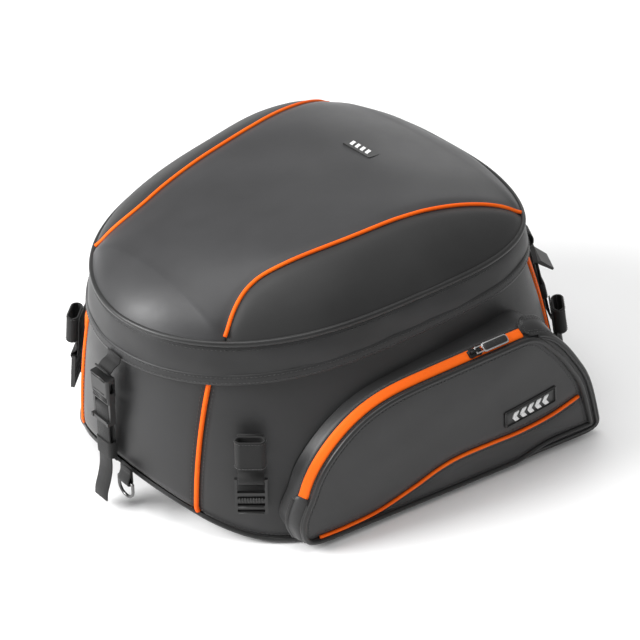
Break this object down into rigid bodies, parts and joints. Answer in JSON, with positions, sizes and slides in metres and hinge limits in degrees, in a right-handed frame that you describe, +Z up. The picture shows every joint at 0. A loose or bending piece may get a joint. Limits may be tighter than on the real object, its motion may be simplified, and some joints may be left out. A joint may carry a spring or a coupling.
{
  "type": "motorcycle tail bag",
  "caption": "Motorcycle tail bag with a domed zip lid, padded walls, a wedge-shaped zip pocket on each side, compression straps and corner mounting buckles.",
  "frame": {"origin": "on the base's flat resting face, in the bag's middle plane", "axes": "+X towards the rider (wide end), +Y to the bike's left, +Z up"},
  "size_m": [0.5163, 0.4842, 0.2794],
  "materials": {
    "badge_mark": "raised light mark",
    "badge_rubber": "moulded rubber",
    "base_rubberised": "coarse rubberised base",
    "black_piping": "satin cord piping",
    "black_zip_tape": "woven tape",
    "buckle_plastic": "moulded acetal",
    "foam": "soft lining",
    "lid_fabric": "fine-grained coated fabric",
    "orange_piping": "bright satin cord piping",
    "orange_zip": "woven zipper tape and coil",
    "pull_plastic": "soft moulded pull",
    "ring_metal": "nickel-plated steel",
    "side_fabric": "coated woven fabric",
    "slider_metal": "black painted die-cast",
    "stiffener_board": "plain board",
    "wall_fabric": "coated fabric with a slight sheen",
    "webbing": "woven polyester webbing"
  },
  "bodies": {
    "bag": {"base_tray": "base_rubberised", "base_board": "stiffener_board", "base_piping": "black_piping", "rear_wall": "wall_fabric", "front_wall": "wall_fabric", "side_wall_left": "wall_fabric", "side_wall_right": "wall_fabric", "rear_pipings": "orange_piping", "front_pipings": "orange_piping", "body_zip_tape": "black_zip_tape", "rear_strap": "webbing", "dring_tab": "webbing", "mount_webs": "webbing", "pocket_face_left": "wall_fabric", "pocket_face_right": "wall_fabric", "pocket_gusset_left": "wall_fabric", "pocket_gusset_right": "wall_fabric", "pocket_piping_left": "black_piping", "pocket_piping_right": "black_piping", "pocket_zip_left": "orange_zip", "pocket_zip_right": "orange_zip", "pocket_zip_ends_left": "wall_fabric", "pocket_zip_ends_right": "wall_fabric", "pocket_accent_left": "orange_piping", "pocket_accent_right": "orange_piping", "pocket_tag_left": "badge_rubber", "pocket_tag_right": "badge_rubber", "front_strap_left": "webbing", "front_strap_right": "webbing", "front_ladder_left": "buckle_plastic", "front_ladder_right": "buckle_plastic"},
    "lid": {"lid_skirt": "wall_fabric", "hem_band": "wall_fabric", "lid_piping": "black_piping", "lid_side_panel_left": "side_fabric", "lid_side_panel_right": "side_fabric", "lid_centre_panel": "lid_fabric", "lid_foam": "foam", "lid_accent_pipings": "orange_piping", "lid_badge": "badge_rubber", "lid_badge_emblem": "badge_mark", "lid_zip_tape": "black_zip_tape", "main_zip_sliders": "slider_metal", "rear_tab": "webbing", "rear_buckle_housing": "buckle_plastic"},
    "rear_plug": {"rear_buckle_plug": "buckle_plastic"},
    "rear_keeper": {"rear_keeper": "webbing"},
    "dring": {"dring": "ring_metal"},
    "front_keeper_left": {"front_keeper_left": "webbing"},
    "front_keeper_right": {"front_keeper_right": "webbing"},
    "mount_buckle_rear_left": {"mount_buckle_rear_left": "buckle_plastic"},
    "mount_buckle_rear_right": {"mount_buckle_rear_right": "buckle_plastic"},
    "mount_buckle_front_left": {"mount_buckle_front_left": "buckle_plastic"},
    "mount_buckle_front_right": {"mount_buckle_front_right": "buckle_plastic"},
    "pocket_slider_left": {"pocket_slider_left": "slider_metal"},
    "pocket_slider_right": {"pocket_slider_right": "slider_metal"},
    "pocket_pull_left": {"pocket_pull_left": "pull_plastic"},
    "pocket_pull_right": {"pocket_pull_right": "pull_plastic"}
  },
  "joints": [
    {"name": "lid_hinge", "type": "hinge", "parent": "bag", "child": "lid", "pos_m": [0.2195, 0, 0.1995], "axis": [0, 1, 0], "range_deg": [0, 95]},
    {"name": "rear_buckle_release", "type": "slide", "parent": "bag", "child": "rear_plug", "axis": [0, 0, -1], "range_m": [0, 0.02], "deforming": ["rear_strap"]},
    {"name": "rear_keeper_slide", "type": "slide", "parent": "bag", "child": "rear_keeper", "axis": [0, 0, -1], "range_m": [0, 0.012]},
    {"name": "dring_swing", "type": "hinge", "parent": "bag", "child": "dring", "pos_m": [-0.239, -0.026, 0.043], "axis": [0, 1, 0], "range_deg": [0, 90]},
    {"name": "front_keeper_slide_left", "type": "slide", "parent": "bag", "child": "front_keeper_left", "axis": [0.2241, 0.1294, -0.9659], "range_m": [0, 0.022]},
    {"name": "front_keeper_slide_right", "type": "slide", "parent": "bag", "child": "front_keeper_right", "axis": [0.2241, -0.1294, -0.9659], "range_m": [0, 0.022]},
    {"name": "mount_buckle_swing_rear_left", "type": "hinge", "parent": "bag", "child": "mount_buckle_rear_left", "pos_m": [-0.17453, 0.14021, 0.07858], "axis": [0.7547, 0.6561, 0], "range_deg": [0, 70]},
    {"name": "mount_buckle_swing_rear_right", "type": "hinge", "parent": "bag", "child": "mount_buckle_rear_right", "pos_m": [-0.17453, -0.14021, 0.07858], "axis": [-0.7547, 0.6561, 0], "range_deg": [0, 70]},
    {"name": "mount_buckle_swing_front_left", "type": "hinge", "parent": "bag", "child": "mount_buckle_front_left", "pos_m": [0.23498, 0.15126, 0.05507], "axis": [0.6561, -0.7547, 0], "range_deg": [0, 70]},
    {"name": "mount_buckle_swing_front_right", "type": "hinge", "parent": "bag", "child": "mount_buckle_front_right", "pos_m": [0.23498, -0.15126, 0.05507], "axis": [-0.6561, -0.7547, 0], "range_deg": [0, 70]},
    {"name": "pocket_slider_run_left", "type": "slide", "parent": "bag", "child": "pocket_slider_left", "axis": [0.9855, 0.159, 0.0591], "range_m": [-0.07, 0.012]},
    {"name": "pocket_pull_swing_left", "type": "hinge", "parent": "pocket_slider_left", "child": "pocket_pull_left", "pos_m": [0.04954, 0.20473, 0.15975], "axis": [0.1592, -0.9872, 0], "range_deg": [0, 80]},
    {"name": "pocket_slider_run_right", "type": "slide", "parent": "bag", "child": "pocket_slider_right", "axis": [0.9855, -0.159, 0.0591], "range_m": [-0.07, 0.012]},
    {"name": "pocket_pull_swing_right", "type": "hinge", "parent": "pocket_slider_right", "child": "pocket_pull_right", "pos_m": [0.04954, -0.20473, 0.15975], "axis": [-0.1592, -0.9872, 0], "range_deg": [0, 80]}
  ]
}
